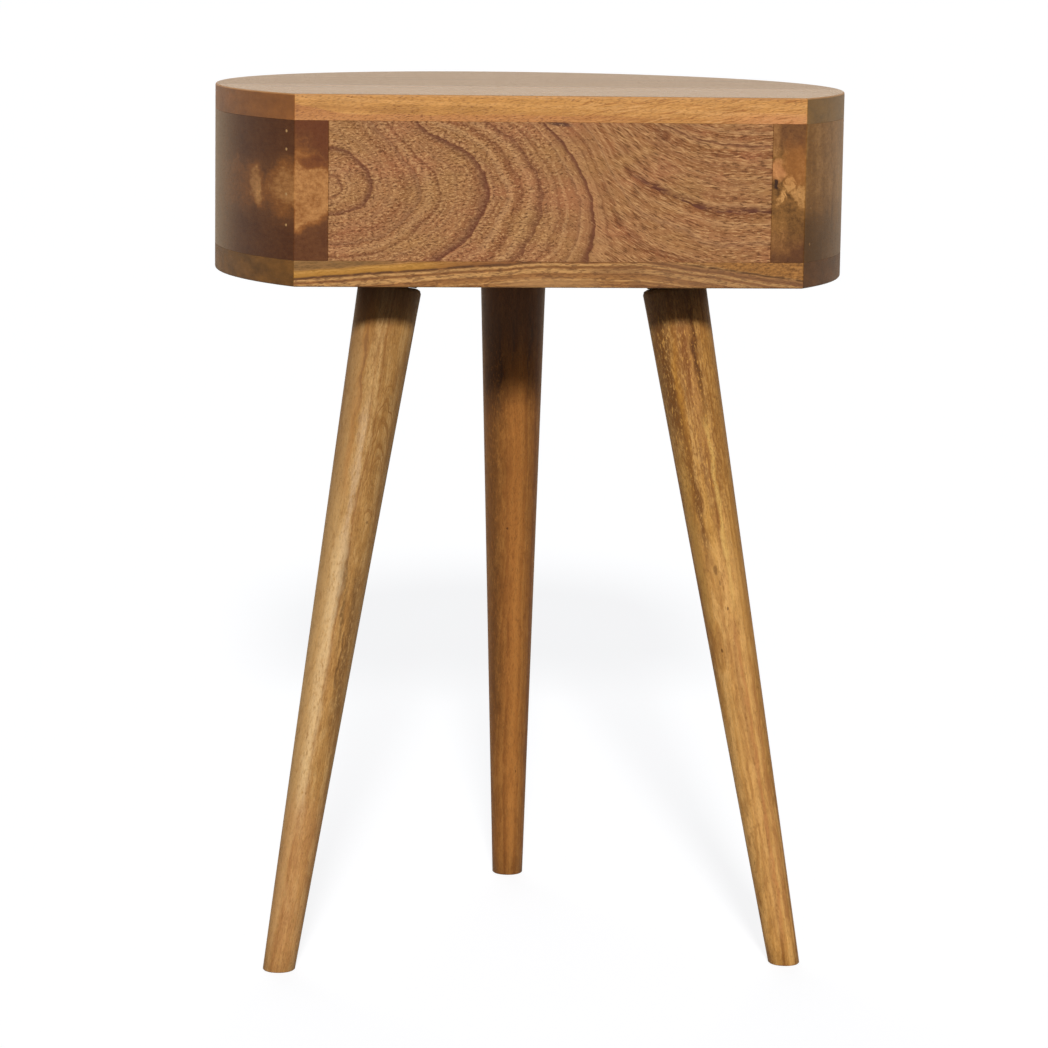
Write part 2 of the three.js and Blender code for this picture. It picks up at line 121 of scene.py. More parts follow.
def board(name, outline, low, high, below, above, upright):
    """An outline raised between two heights, its edges eased by a width below, above and upright."""
    mesh = bmesh.new()
    weight = mesh.edges.layers.float.new("bevel_weight_edge")
    skin(mesh, [[(x, y, z) for x, y in outline] for z in (low, high)])
    widest = max(below, above, upright)
    mesh.normal_update()
    for edge in mesh.edges:
        lower, upper = sorted(vert.co.z for vert in edge.verts)
        if upper - lower < mm:
            edge[weight] = (below if upper < (low + high) / 2 else above) / widest
        elif edge.calc_face_angle() > math.radians(20):
            edge[weight] = upright / widest
    piece = mesh_piece(name, mesh)
    ease_edges(piece, widest)
    return piece


def fit(piece, finish, body, slot, *nodes):
    """Finishes a piece, lets it ride on its body and stand for its CAD nodes."""
    piece.data.materials.append(finish)
    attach(piece, body)
    if nodes:
        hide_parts(*nodes)


class Signal:
    """A socket of a finish, so that sums on it read as plain arithmetic."""

    def __init__(self, finish, socket):
        self.finish = finish
        self.socket = socket

    def work(self, operation, *others):
        return self.finish.work(operation, self, *others)

    def __add__(self, other):
        return self.work("ADD", other)

    def __sub__(self, other):
        return self.work("SUBTRACT", other)

    def __rsub__(self, other):
        return self.finish.work("SUBTRACT", other, self)

    def __mul__(self, other):
        return self.work("MULTIPLY", other)

    def __truediv__(self, other):
        return self.work("DIVIDE", other)

    def __pow__(self, other):
        return self.work("POWER", other)

    def __abs__(self):
        return self.work("ABSOLUTE")

    def at_least(self, other):
        return self.work("MAXIMUM", other)

    def at_most(self, other):
        return self.work("MINIMUM", other)

    __radd__ = __add__
    __rmul__ = __mul__


class Finish:
    """The nodes of a material, or of the studio round the piece."""

    def __init__(self, owner):
        owner.use_nodes = True
        self.owner = owner
        self.tree = owner.node_tree
        self.tree.nodes.clear()

    def node(self, kind, settings=None, values=None, output=0):
        """Adds a node: settings first, then the value or link of each socket."""
        made = self.tree.nodes.new(kind)
        for key, value in (settings or {}).items():
            if key == "stops":
                while len(made.color_ramp.elements) < len(value):
                    made.color_ramp.elements.new(1)
                for element, (place, colour) in zip(made.color_ramp.elements, value):
                    element.position = place
                    element.color = colour
            else:
                setattr(made, key, value)
        for key, value in (values or {}).items():
            if isinstance(value, Signal):
                self.tree.links.new(value.socket, made.inputs[key])
            else:
                made.inputs[key].default_value = value
        return None if output is None else Signal(self, made.outputs[output])

    def work(self, operation, *values):
        return self.node("ShaderNodeMath", {"operation": operation}, dict(enumerate(values)))

    def vector_work(self, operation, values, output=0):
        return self.node("ShaderNodeVectorMath", {"operation": operation}, values, output)

    def split(self, vector):
        return [self.node("ShaderNodeSeparateXYZ", None, {0: vector}, axis) for axis in range(3)]

    def join(self, x, y, z):
        return self.node("ShaderNodeCombineXYZ", None, {0: x, 1: y, 2: z})

    def place(self):
        """The point of the surface, as three lengths in mm in the frame of the piece's body."""
        metres = self.node("ShaderNodeTexCoord", None, None, "Object")
        return self.split(shaded(metres, 1 / mm))

    def facing(self):
        """Which way the surface faces, as three shares from -1 to 1."""
        return self.split(self.node("ShaderNodeTexCoord", None, None, "Normal"))

    def sight(self):
        """1 where the camera sees it directly, and 1 where it sees it mirrored."""
        paths = ("Is Camera Ray", "Is Glossy Ray")
        return [self.node("ShaderNodeLightPath", None, None, path) for path in paths]

    def closed(self, surface, kind="ShaderNodeOutputMaterial"):
        self.node(kind, None, {"Surface": surface}, None)
        return self.owner

    def done(self, colour, roughness, height, relief, metallic=0, specular=0.2):
        """Closes the finish: colour, roughness and relief from height."""
        values = {
            "Base Color": colour,
            "Roughness": roughness,
            "Metallic": metallic,
            "Specular IOR Level": specular,
            "Normal": self.node("ShaderNodeBump", None, {"Height": height, "Distance": relief}),
        }
        return self.closed(self.node("ShaderNodeBsdfPrincipled", None, values))


def noise(x, y, z, detail=2, roughness=0.5):
    """Soft noise of about one unit in size, round 0.5."""
    values = {"Vector": x.finish.join(x, y, z), "Scale": 1, "Detail": detail, "Roughness": roughness}
    return x.finish.node("ShaderNodeTexNoise", {"noise_dimensions": "3D"}, values)


def noise_line(x, detail=2, roughness=0.5):
    """The same noise along one length only."""
    values = {"W": x, "Scale": 1, "Detail": detail, "Roughness": roughness}
    return x.finish.node("ShaderNodeTexNoise", {"noise_dimensions": "1D"}, values)


def rise(value, low, high):
    """0 below low, 1 above high, smooth between; with low above high it falls instead."""
    values = {"Value": value, "From Min": low, "From Max": high}
    return value.finish.node("ShaderNodeMapRange", {"interpolation_type": "SMOOTHSTEP"}, values)


def spot(x, y, half_x, half_y, sharpness=0):
    """1 in the middle of an oval patch and 0 outside it."""
    return rise((x / half_x) ** 2 + (y / half_y) ** 2, 1, sharpness)


def ramp(value, *stops):
    return value.finish.node("ShaderNodeValToRGB", {"stops": stops}, {0: value})


def blend(amount, first, second):
    settings = {"data_type": "RGBA", "clamp_factor": True}
    return amount.finish.node("ShaderNodeMix", settings, {0: amount, 6: first, 7: second}, 2)


def shaded(colour, strength):
    """A colour made lighter or darker by a strength round 1."""
    return colour.finish.vector_work("SCALE", {0: colour, "Scale": strength})


def stained(colour, *layers):
    """Lays stains over a colour in turn: each has an amount, then its red, green and blue."""
    for amount, *shade in layers:
        colour = blend(amount, colour, tone(*shade))
    return colour


def new_finish(name):
    return Finish(bpy.data.materials.new(name))


def tone(red, green, blue):
    """A colour as paint charts give it, 0 to 255, turned into light."""

    def light(value):
        value = value / 255
        return value / 12.92 if value <= 0.04045 else ((value + 0.055) / 1.055) ** 2.4

    return (light(red), light(green), light(blue), 1)


def wavy(place, amount, length=140, width=45, seed=0):
    """How far the grain wanders sideways at a place."""
    along, across, depth = place
    drift = noise(along / length + seed, across / width, depth / width)
    return (drift - 0.5) * amount


def along_grain(place, length, width, seed, detail=4, roughness=0.6):
    """Noise drawn out along the grain: a length along it and a width across it."""
    along, across, depth = place
    return noise(along / length, across / width, depth / width + seed, detail, roughness)


def dashes(place, length, width, low, high, seed=0):
    """Short open pores along the grain: 1 in a pore and 0 beside it."""
    along, across, depth = place
    spread = noise(along / length, across / width + seed, depth / width, detail=1)
    return rise(spread, low, high)


def timber(ring, place, tones, band, seed, fibre=(18, 0.7), swing=0.5, pored=0.5):
    """Growth rings, fibres and open pores; ring is the length across the rings.

    Gives the colour, the pores and the fibres."""
    dark, middle, light = [tone(*shade) for shade in tones]
    bands = noise_line(ring / band + seed, detail=3, roughness=0.6)
    fibres = along_grain(place, *fibre, seed)
    pores = dashes(place, 3.2, 0.42, 0.56, 0.7, seed)
    colour = ramp(bands, (0.34, dark), (0.5, middle), (0.64, light))
    colour = shaded(colour, 1 - swing / 2 + swing * fibres)
    colour = blend(pored * pores, colour, dark)
    return colour, pores, fibres


def satin(colour, pores, fibres, shine=0.42, specular=0.2):
    """Satin lacquer over open pores."""
    roughness = shine + 0.12 * fibres + 0.15 * pores
    return colour.finish.done(colour, roughness, 0.35 * fibres - pores, 0.12 * mm, specular=specular)


def end_grain(colour, place, right_end, left_end, blotchy, seed):
    """Gives a board with its grain along X the darker, speckled look of the cut across its fibres."""
    x, y, z = place
    cut = rise(abs(x.finish.facing()[0]), 0.3, 0.62)
    speckle = noise(x / 1.1, y / 1.1, z / 0.6 + seed, detail=2)
    cloud = noise(x / 13, y / 13, z / 7 + seed, detail=4, roughness=0.6)
    rim = blend(rise(x, -10, 10), left_end, right_end)
    rim = shaded(rim, 1 + 0.3 * (speckle - 0.5) + blotchy * (cloud - 0.5))
    return blend(cut, colour, rim)


def bottom_wood():
    """Tan planks; one dark streak climbs across the flat edge, another falls towards its far end.

    run is the length along that edge from its right corner, and ring is the height with the slope
    of the grain taken out."""
    finish = new_finish("bottom_wood")
    x, y, z = place = finish.place()
    run = flat_half / mm - x
    climb = 0.0754 * run.at_most(150)
    fall = 0.15 * (run - 215).at_least(0)
    ring = z - climb + fall + 0.25 * (back_y / mm - y) + wavy(place, 2.6, length=22, width=14, seed=4)
    tones = ((126, 79, 39), (164, 113, 60), (192, 142, 84))
    colour, pores, fibres = timber(ring, place, tones, 3.1, 3.1, fibre=(6, 1), swing=0.8)
    cloud = noise(x / 11, y / 8, z / 2.6, detail=3, roughness=0.6)
    colour = shaded(colour, 0.68 + 0.66 * cloud)
    flecks = dashes((x, y, ring), 3.6, 0.8, 0.53, 0.62, 3)
    golden = rise(ring, 443.7, 444.6) * rise(ring, 449.5, 447.5) * rise(run, 125, 80)
    olive = rise(ring, 447.3, 449.5) * rise(run, 78, 40)
    russet = rise(ring, 443.9, 444.8) * rise(run, 72, 98) * rise(run, 165, 140)
    dull = rise(run, 190, 240) * rise(ring, 447.4, 446.2)
    blond = spot(run - 158, z - 441.5, 40, 5)
    brown = spot(run - 198, z - 450, 24, 4) + spot(run - 210, z - 440, 7, 3)
    corner = rise(run, 255, 266) * rise(ring, 446.6, 447.6)
    speckled = rise(noise((x + 0.4 * z) / 3.2, y, z / 1.5, detail=5, roughness=0.72), 0.36, 0.62)
    colour = stained(
        colour,
        (0.6 * flecks, 98, 58, 28),
        (0.6 * golden, 188, 132, 44),
        (0.6 * olive, 116, 86, 44),
        (0.5 * russet, 130, 76, 36),
        (0.3 * dull, 126, 92, 66),
        (0.4 * blond, 196, 148, 94),
        (0.55 * brown, 118, 76, 42),
    )
    colour = blend(0.8 * corner, colour, blend(speckled, tone(104, 64, 26), tone(174, 118, 56)))
    climbing = rise(abs(ring - 443.7), 1.3, 0.1) * rise(run, 160, 130)
    falling = rise(abs(ring - 446.8), 1.1, 0.1) * rise(run, 232, 250)
    broken = noise(x / 7, y / 3, z / 3, detail=1)
    line = (climbing + falling) * rise(broken, 0.25, 0.5)
    colour = blend(0.85 * line, colour, tone(80, 48, 22))
    colour = end_grain(colour, place, tone(116, 76, 31), tone(92, 55, 22), 1.9, 2)
    return satin(colour, pores, fibres)


bottom_board = board(
    "bottom_board_wood", board_outline, bottom_low.z, bottom_high.z, rim_easing, joint_easing, corner_easing
)
fit(bottom_board, bottom_wood(), "case", "bottom_wood", "bottom_board")

# Side walls
# Two curved walls 16 mm thick, glued and dowelled between the boards, flush with their rims. They
# are of dark mottled heartwood, and their sawn ends show beside the back panel.
wall_low, wall_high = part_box("right_side_wall")
wall_thickness = 16 * mm
inner_radius = round_radius - wall_thickness
mouth_bearing = math.asin(wall_low.x / inner_radius)
rim_per_degree = math.radians(1) * round_radius
corner_blur_degrees = 0.2


def wall_place(finish):
    """Length along the curve, height, distance from the middle, and the bearing in degrees."""
    x, y, z = finish.place()
    spoke = finish.join(x, y - centre_y / mm, 0)
    radius = finish.vector_work("LENGTH", {0: spoke}, "Value")
    bearing = x.work("ARCTAN2", centre_y / mm - y) * math.degrees(1)
    return bearing * (rim_per_degree / mm), z, radius, bearing


def sawn_end(bearing):
    """1 on a wall's sawn end and 0 on its curve."""
    corner = math.degrees(flat_bearing)
    return rise(abs(bearing), corner - corner_blur_degrees, corner + corner_blur_degrees)


def mottled(level, place, tones, seed, cloudy, figured):
    """Blotchy heartwood; level says how light it is, from 0 to 1."""
    along, height, radius = place
    cloud = noise(along / 15 + seed, height / 10, radius / 10, detail=4, roughness=0.6)
    figure = noise(along / 4, height / 2.4 + seed, radius / 2.4, detail=4, roughness=0.65)
    level = level + cloudy * (cloud - 0.5) + figured * (figure - 0.5)
    colour = ramp(level, *zip((0.1, 0.34, 0.55, 0.8), [tone(*shade) for shade in tones]))
    fibres = along_grain(place, 7, 0.8, seed, detail=3)
    pores = dashes(place, 2.4, 0.5, 0.6, 0.74, seed)
    colour = shaded(colour, 0.82 + 0.36 * fibres)
    colour = stained(colour, (0.3 * pores, *tones[0]))
    return colour, pores, fibres


def drifted(place, amount, size, seed):
    """A place moved about by soft noise, so that patches drawn there get wandering edges."""
    along, height, depth = place
    first = noise(along / size + seed, height / size, depth / size, detail=3)
    second = noise(along / size, height / size + seed, depth / size, detail=3)
    aside = (second - 0.5) * amount
    return along + aside, height + (first - 0.5) * amount, depth + aside


def right_wall_wood():
    """Dark above and below, with a light cloud at half height that runs over the sawn end."""
    finish = new_finish("right_wall_wood")
    along, z, radius, bearing = wall_place(finish)
    place = (along, z, radius)
    length, height, depth = drifted(place, 16, 12, 2)
    over = rise(height, 507, 522)
    under = rise(height, 492, 472)
    nearby = rise(bearing, 99, 113)
    middle = rise(length, 416, 436) * (1 - over) * (1 - under)
    glow = spot(length - 410.5, height - 498, 14, 15)
    curved = 0.44 - 0.27 * (over.at_least(under)) * (0.2 + 0.8 * nearby) + 0.2 * middle
    cleft = spot(length - 418.5, height - 500, 4, 16)
    curved = curved + 0.3 * glow - 0.14 * cleft
    sawn_under = rise(height + 0.7 * radius, 615, 606)
    sawn_over = rise(height - 1.06 * depth, 310, 330)
    patch = spot(depth - 191, height - 514, 8.5, 6.5)
    sawn = 0.66 - 0.4 * sawn_under - 0.24 * sawn_over - 0.2 * patch
    sawn = sawn - 0.16 * rise(height, 510, 524)
    ending = sawn_end(bearing)
    level = curved + (sawn - curved) * ending
    tones = ((80, 41, 18), (104, 62, 32), (141, 86, 40), (202, 144, 84))
    colour, pores, fibres = mottled(level, place, tones, 5.2, 0.28, 0.4)
    # Painted sheen: from about the wall's side towards the drawer, the colour goes a lighter olive that
    # stands in for the pale surroundings mirrored there at a low angle.
    olive = rise(bearing, 112, 94)
    grain = noise(along / 16, height / 1.1, radius / 4, detail=5, roughness=0.65)
    colour = blend(0.6 * olive, colour, tone(138, 102, 56))
    colour = shaded(colour, 1 + 0.7 * olive * (grain - 0.5))
    rusty = (sawn_over + patch).at_most(1) * ending
    colour = stained(colour, (0.4 * rusty, 108, 50, 22))
    return satin(colour, pores, fibres, 0.31, 0.15)


def left_wall_wood():
    """Olive brown; its sawn end swirls round a small knot at the joint with the panel."""
    finish = new_finish("left_wall_wood")
    along, z, radius, bearing = wall_place(finish)
    place = (along, z, radius)
    height, depth = drifted(place, 14, 9, 3)[1:]
    under = rise(height, 502, 466)
    nearby = rise(bearing, -112, -122)
    smear = noise(along / 9, height / 34, radius / 9, detail=3)
    curved = 0.66 - 0.46 * under * (0.7 + 0.3 * nearby) - 0.08 * nearby + 0.5 * (smear - 0.5)
    pale = rise(radius + (depth - radius) / 3, 189, 186) * rise(height, 517, 527)
    flesh = spot(depth - 186, height - 511, 5.5, 9)
    swirl = spot(depth - 191, height - 500, 10, 12)
    glint = spot(depth - 199, height - 495, 7, 8)
    flame = noise((depth + 0.5 * height) / 2.4, (height - depth) / 14, along / 5, detail=2)
    flare = spot(depth - 190.5 - 0.35 * (height - 500), height - 500, 3, 15)
    orange = spot(depth - 196, height - 515, 9, 20)
    column = rise(depth, 193, 189) * rise(height, 488, 480)
    foot = rise(height, 466, 458)
    sawn = 0.44 + 0.2 * pale + 0.26 * flesh + 0.24 * glint + 0.1 * column - 0.2 * foot
    sawn = sawn + 0.1 * orange + flare * (0.8 * flame - 0.2)
    sawn = sawn + (0.3 + 0.5 * swirl) * (flame - 0.48)
    ending = sawn_end(bearing)
    level = curved + (sawn - curved) * ending
    tones = ((52, 32, 15), (98, 65, 32), (142, 97, 49), (198, 144, 84))
    colour, pores, fibres = mottled(level, place, tones, 8.4, 0.26, 0.42)
    dusky = (rise(height, 519, 532) + rise(height, 480, 462)) * ending
    ragged = 6 * (flame - 0.5)
    knot = spot(radius - 185.4 + ragged, z - 503 + 0.2 * (height - z), 1.5, 3.4, 0.5)
    colour = stained(
        colour,
        (0.45 * flesh * ending, 206, 130, 82),
        (0.45 * orange * ending, 162, 96, 44),
        (0.3 - 0.3 * ending, 138, 88, 26),
        (0.4 * dusky, 106, 62, 42),
        (0.9 * knot, 44, 26, 22),
    )
    return satin(colour, pores, fibres, 0.34, 0.12)


for side, sign, finish in (("right", 1, right_wall_wood()), ("left", -1, left_wall_wood())):
    outline = arc(round_radius, sign * mouth_bearing, sign * flat_bearing)
    outline += arc(inner_radius, sign * bearing_at_y(inner_radius, back_y), sign * mouth_bearing)
    wall = board(
        f"{side}_wall", outline, wall_low.z, wall_high.z, joint_easing, joint_easing, corner_easing
    )
    fit(wall, finish, "case", "wall_wood", f"{side}_side_wall")

# Back panel
# A flat 12 mm panel of plain-sawn reddish-brown hardwood, let in between the wall ends and held by
# pins. Its growth rings lie in nested arcs that open out and run off as slanting streaks.
panel_low, panel_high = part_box("back_panel")
panel_gap = 0.1 * mm
panel_radius = inner_radius - panel_gap
panel_half = panel_radius * math.sin(bearing_at_y(panel_radius, back_y))
pith_z = 498.6
panel_rings = (
    (9, 3, 0.7), (14, 3, 0.3), (26, 7, 1), (37, 4, 0.35), (48, 4, 0.3), (56, 9, 0.6), (68, 5, 0.4),
    (79, 4, 0.3), (97, 12, 1.1), (108, 4, 0.3), (118, 5, 0.35), (131, 9, 0.8), (141, 4, 0.4),
    (154, 4, 0.5), (164, 8, 1.1), (174, 4, 0.4), (184, 5, 0.5), (197, 4, 0.5), (226, 4, 0.4),
    (241, 5, 0.3), (256, 4, 0.4), (278, 5, 0.9), (291, 4, 0.3),
)


def panel_wood():
    """Nested arcs round a pith at the right-hand end, running out in slanting streaks.

    Each of panel_rings has its distance from the pith, the width of its soft inner side and its
    strength."""
    finish = new_finish("panel_wood")
    x, y, z = place = finish.place()
    u = panel_half / mm - x
    v = z - pith_z
    sag = -20 * ((u - 90) / 75).at_least(0) ** 2
    offset = v - sag
    squeeze_up = 1 - 0.53 * rise(u, 0, 65)
    above = offset.at_least(0) / squeeze_up
    below = (0 - offset).at_least(0) / 0.62
    arcs = (u ** 2 + above ** 2 + below ** 2) ** 0.5
    fall = 21 * ((245 - u) / 57).at_least(0) ** 1.6
    lift = v - fall + 12.8
    streaks = 212 + 1.6 * lift.at_least(0) + 0.8 * lift.at_most(0)
    beyond = rise(u, 150, 205)
    drift = wavy(place, 9, length=30, width=18)
    ripple = wavy(place, 3.4, length=5, width=4, seed=2)
    ring = arcs + (streaks - arcs) * beyond + drift + ripple
    bands = noise_line(ring / 8, detail=4, roughness=0.65)
    colour = ramp(
        bands, (0.34, tone(136, 84, 45)), (0.5, tone(156, 105, 61)), (0.66, tone(174, 125, 79))
    )
    hue = noise(x / 38, z / 22, y / 20, detail=2)
    colour = stained(
        colour,
        (0.4 * rise(hue, 0.5, 0.68), 168, 104, 66),
        (0.4 * rise(hue, 0.5, 0.34), 166, 120, 66),
    )
    lined = 0
    for at, inner, strength in panel_rings:
        late = rise(ring, at - inner, at - 0.3) * rise(ring, at + 0.8, at - 0.2)
        lined = lined + strength * late ** 2
        early = rise(ring, at + 0.6, at + 1.8) * rise(ring, at + 6, at + 2.4)
        colour = stained(
            colour, (0.8 * strength * late ** 2, 98, 50, 28), (0.3 * strength * early, 190, 140, 92)
        )
    streak = lift + 0.5 * drift + 0.8 * ripple
    maroon = rise(streak, 6, 0.6) ** 1.3 * rise(streak, -1.2, -0.3)
    fading = noise(x / 7, y / 5, z / 2, detail=3, roughness=0.6)
    maroon = maroon * rise(u, 176, 198) * (0.3 + 0.7 * rise(fading, 0.38, 0.56))
    smudge = spot(u - 203 + ripple, v - 34, 7, 11)
    scar = spot(u - 140, v - 40.5 + 0.1 * (u - 140) + 0.4 * ripple, 11, 1.8)
    squiggle = noise((x + ripple) / 2.3, z - ripple, y / 2, detail=2.5, roughness=0.65)
    straight = noise(x / 5.5, (lift + 0.35 * ripple) / 0.95, y / 2, detail=2.5, roughness=0.65)
    worms = squiggle + (straight - squiggle) * rise(u, 120, 190)
    pale = rise(worms, 0.54, 0.63)
    pores = rise(worms, 0.46, 0.37)
    fibres = noise(x / 9, z / 5, y / 5, detail=4, roughness=0.65)
    colour = stained(
        colour,
        (0.9 * maroon, 84, 40, 27),
        (0.4 * smudge, 116, 70, 40),
        (0.8 * scar, 66, 36, 30),
        (0.6 * pale * (1 - maroon.at_least(0.7 * lined)), 208, 160, 105),
        (0.7 * pores * (1 - 0.4 * lined), 82, 44, 23),
    )
    colour = shaded(colour, 0.74 + 0.52 * fibres)
    return satin(colour, pores, fibres, 0.46)


panel_outline = arc(
    panel_radius, bearing_at_y(panel_radius, panel_low.y), bearing_at_y(panel_radius, back_y)
)
panel_outline += [(-x, y) for x, y in reversed(panel_outline)]
back_panel = board(
    "back_panel_wood", panel_outline, panel_low.z, panel_high.z, joint_easing, joint_easing, joint_easing
)
fit(back_panel, panel_wood(), "case", "panel_wood", "back_panel")

# Pins and their fillers
# Thin headless steel pins go through the wall ends into the panel. They are sunk, and the small
# holes above them are closed with dots of pale filler, sanded flush with the curve.
filler_radius = 0.95 * mm
filler_rise = 0.05 * mm
filler_sides = 20
filler_profile = (
    (filler_radius, -2 * filler_rise), (0.95 * filler_radius, 0), (0.6 * filler_radius, 0.8 * filler_rise),
)


def steel(name, colour, roughness, metallic, grain):
    """Bare or painted steel with the fine unevenness of its coat."""
    finish = new_finish(name)
    x, y, z = finish.place()
    coat = noise(x / grain, y / grain, z / grain, detail=3)
    wear = noise(x / 9, y / 9, z / 9, detail=2)
    shade = ramp(coat, (0.3, tuple(0.8 * part for part in colour[:3]) + (1,)), (0.7, colour))
    return finish.done(shade, roughness + 0.25 * (wear - 0.5), coat, 0.03 * mm, metallic, 0.5)


def filler_paste(name, dark, light):
    finish = new_finish(name)
    x, y, z = finish.place()
    grit = noise(x / 0.3, y / 0.3, z / 0.3, detail=2)
    return finish.done(ramp(grit, (0.3, dark), (0.7, light)), 0.6 + 0.1 * grit, grit, 0.03 * mm)


def dress(name, finish, easing=0):
    """Gives a CAD node its finish and eases its edges."""
    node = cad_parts[name]
    node.data.materials.clear()
    node.data.materials.append(finish)
    if easing:
        ease_edges(node, easing, 40)


def round_angles(sides):
    return [2 * math.pi * step / sides for step in range(sides)]


def lathe(mesh, profile, sides, place=Matrix()):
    """Turns (radius, height) pairs round the Z axis of a place."""
    skin(mesh, [
        [
            place @ Vector((radius * math.cos(angle), radius * math.sin(angle), height))
            for angle in round_angles(sides)
        ]
        for radius, height in profile
    ])


zinc = steel("zinc_steel", (0.62, 0.61, 0.58, 1), 0.36, 1, 0.9)
pale_paste = filler_paste("pale_filler", tone(166, 122, 72), tone(206, 164, 110))
brown_paste = filler_paste("brown_filler", tone(128, 92, 54), tone(156, 116, 72))
for side, sign, paste in (("right", 1, pale_paste), ("left", -1, brown_paste)):
    for number in (1, 2, 3, 4):
        pin_name = f"back_panel_{side}_pin_{number}"
        pin_low, pin_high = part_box(pin_name)
        dress(pin_name, zinc)
        pin_middle = (pin_low + pin_high) / 2
        bearing = sign * bearing_at_y(round_radius, pin_middle.y)
        outwards = Vector((math.sin(bearing), -math.cos(bearing), 0))
        seat = Vector((0, centre_y, pin_middle.z)) + outwards * round_radius
        dot = bmesh.new()
        lathe(dot, filler_profile, filler_sides)
        filler = mesh_piece(f"{side}_wall_filler_{number}", dot)
        filler.matrix_world = Matrix.Translation(seat) @ outwards.to_track_quat("Z", "Y").to_matrix().to_4x4()
        fit(filler, paste, "case", "dowel_wood")

# Top board
# A second round board like the first. Its planks run across the width, with glue lines between
# them, and its upper rim is eased a little more because hands reach it.
top_low, top_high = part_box("top_board")
plank_width = 96
seam_y = 48


def top_wood():
    """Orange tan; a pinker band runs along the bottom of the flat edge and climbs to the right corner."""
    finish = new_finish("top_wood")
    x, y, z = place = finish.place()
    run = flat_half / mm - x
    plank = ((y - seam_y) / plank_width).work("FLOOR")
    ring = z + 0.025 * run + 0.16 * (back_y / mm - y) + 7 * plank
    ring = ring + wavy(place, 4, length=40, width=22, seed=1)
    tones = ((176, 119, 56), (198, 140, 72), (210, 152, 85))
    colour, pores, fibres = timber(ring, place, tones, 5.5, 6.6, fibre=(7, 0.9), swing=0.4)
    tint = noise_line(plank * 3.7 + 0.4, detail=0)
    cloud = noise(x / 20, y / 14, z / 4.5, detail=3, roughness=0.6)
    colour = shaded(colour, 0.66 + 0.32 * tint + 0.44 * cloud)
    border = (549.8 - 0.17 * run).at_least(544.2) + wavy(place, 3.2, length=14, width=9)
    below = rise(z - border, 0.6, -0.6) * rise(run, 250, 150)
    golden = spot(run - 120, z - 550, 90, 9)
    shift = wavy(place, 9, length=6, width=3, seed=9)
    olive = spot(run - 64, z - 547.5 + 0.5 * shift, 26, 4)
    olive = olive + spot(run - 108, z - 547.6 + 0.4 * shift, 26, 3.2)
    blush = rise(run, 235, 300) * rise(z, 548.5, 543)
    slant = z - 0.2 * run + wavy(place, 5, length=24, width=9, seed=5)
    strokes = noise(x / 15, y / 1.2, slant / 1.1, detail=3, roughness=0.55)
    marked = 0.3 + 0.7 * rise(run, 110, 190)
    flecks = dashes((x, y, slant), 2.8, 0.5, 0.53, 0.64, 3)
    rim = rise(z, 551, 555)
    colour = stained(
        colour,
        (0.6 * below, 180, 112, 62),
        (0.3 * golden, 208, 146, 68),
        (0.35 * olive, 140, 90, 30),
        (0.5 * blush, 214, 140, 92),
        (0.75 * marked * rise(strokes, 0.48, 0.32), 158, 96, 40),
        (0.5 * marked * rise(strokes, 0.54, 0.68), 226, 170, 108),
        (flecks * (0.36 + 0.3 * (rim + below + olive)), 120, 66, 28),
    )
    colour = end_grain(colour, place, tone(145, 88, 40), tone(134, 96, 44), 1.2, 5)
    steepness = finish.facing()[2]
    upwards = rise(steepness, 0.85, 0.97)
    streak = noise(x / 90, y / 2.4, z / 9, detail=3, roughness=0.6)
    plain_sawn = 0.6 * y + 60 * plank + wavy(place, 46, length=150, width=48, seed=2)
    figure = rise(noise_line(plain_sawn / 7, detail=4, roughness=0.6), 0.32, 0.56)
    farther = rise(y, seam_y + 0.5, seam_y - 0.5)
    # Painted highlight and painted reflection: faces turned upwards, the eased upper rim among them, go a
    # lighter orange that stands in for light caught on the eased rim, and the top face is greyed to stand in
    # for the pale surroundings it mirrors at a low angle.
    colour = stained(
        colour,
        (0.7 * rise(steepness, 0.1, 0.5), 200, 140, 78),
        (0.35 * upwards, 168, 156, 136),
    )
    colour = shaded(colour, 1 - upwards * (0.4 - 0.34 * streak - 0.2 * figure + 0.16 * farther))
    seam = rise(abs((y - seam_y) / plank_width - plank - 0.5), 0.496, 0.4985)
    colour = blend(0.45 * upwards * pores, colour, tone(92, 54, 26))
    colour = shaded(colour, 1 - 0.35 * seam * upwards)
    return satin(colour, pores, fibres, 0.38 - upwards * (0.19 - 0.05 * farther), 0.3)


top_board = board(
    "top_board_wood", board_outline, top_low.z, top_high.z, joint_easing, rim_easing, corner_easing
)
fit(top_board, top_wood(), "case", "top_wood", "top_board")

# Dowels
# Beech dowels join the walls to both boards. They are wholly inside, with chamfered ends, and
# since nothing shows them, they are of plain raw wood.


def raw_wood(name, axes, tones, seed):
    """Unlacquered pale hardwood; axes gives the axis of the fibres and then the other two."""
    finish = new_finish(name)
    place = finish.place()
    turned = [place[axis] for axis in axes]
    across, depth = turned[1:]
    ring = depth + 0.3 * across + wavy(turned, 5, seed=seed)
    colour, pores, fibres = timber(ring, turned, tones, 3.5, seed, (14, 0.7), 0.3, 0.3)
    return finish.done(colour, 0.66 + 0.12 * fibres, 0.5 * fibres - pores, 0.1 * mm)


dowel_tones = ((196, 160, 112), (216, 184, 138), (226, 198, 156))
upright_dowel_wood = raw_wood("upright_dowel_wood", (2, 0, 1), dowel_tones, 1.5)
for side in ("right", "left"):
    for level in ("upper", "lower"):
        for end in ("front", "back"):
            dress(f"{side}_wall_{level}_{end}_dowel", upright_dowel_wood)

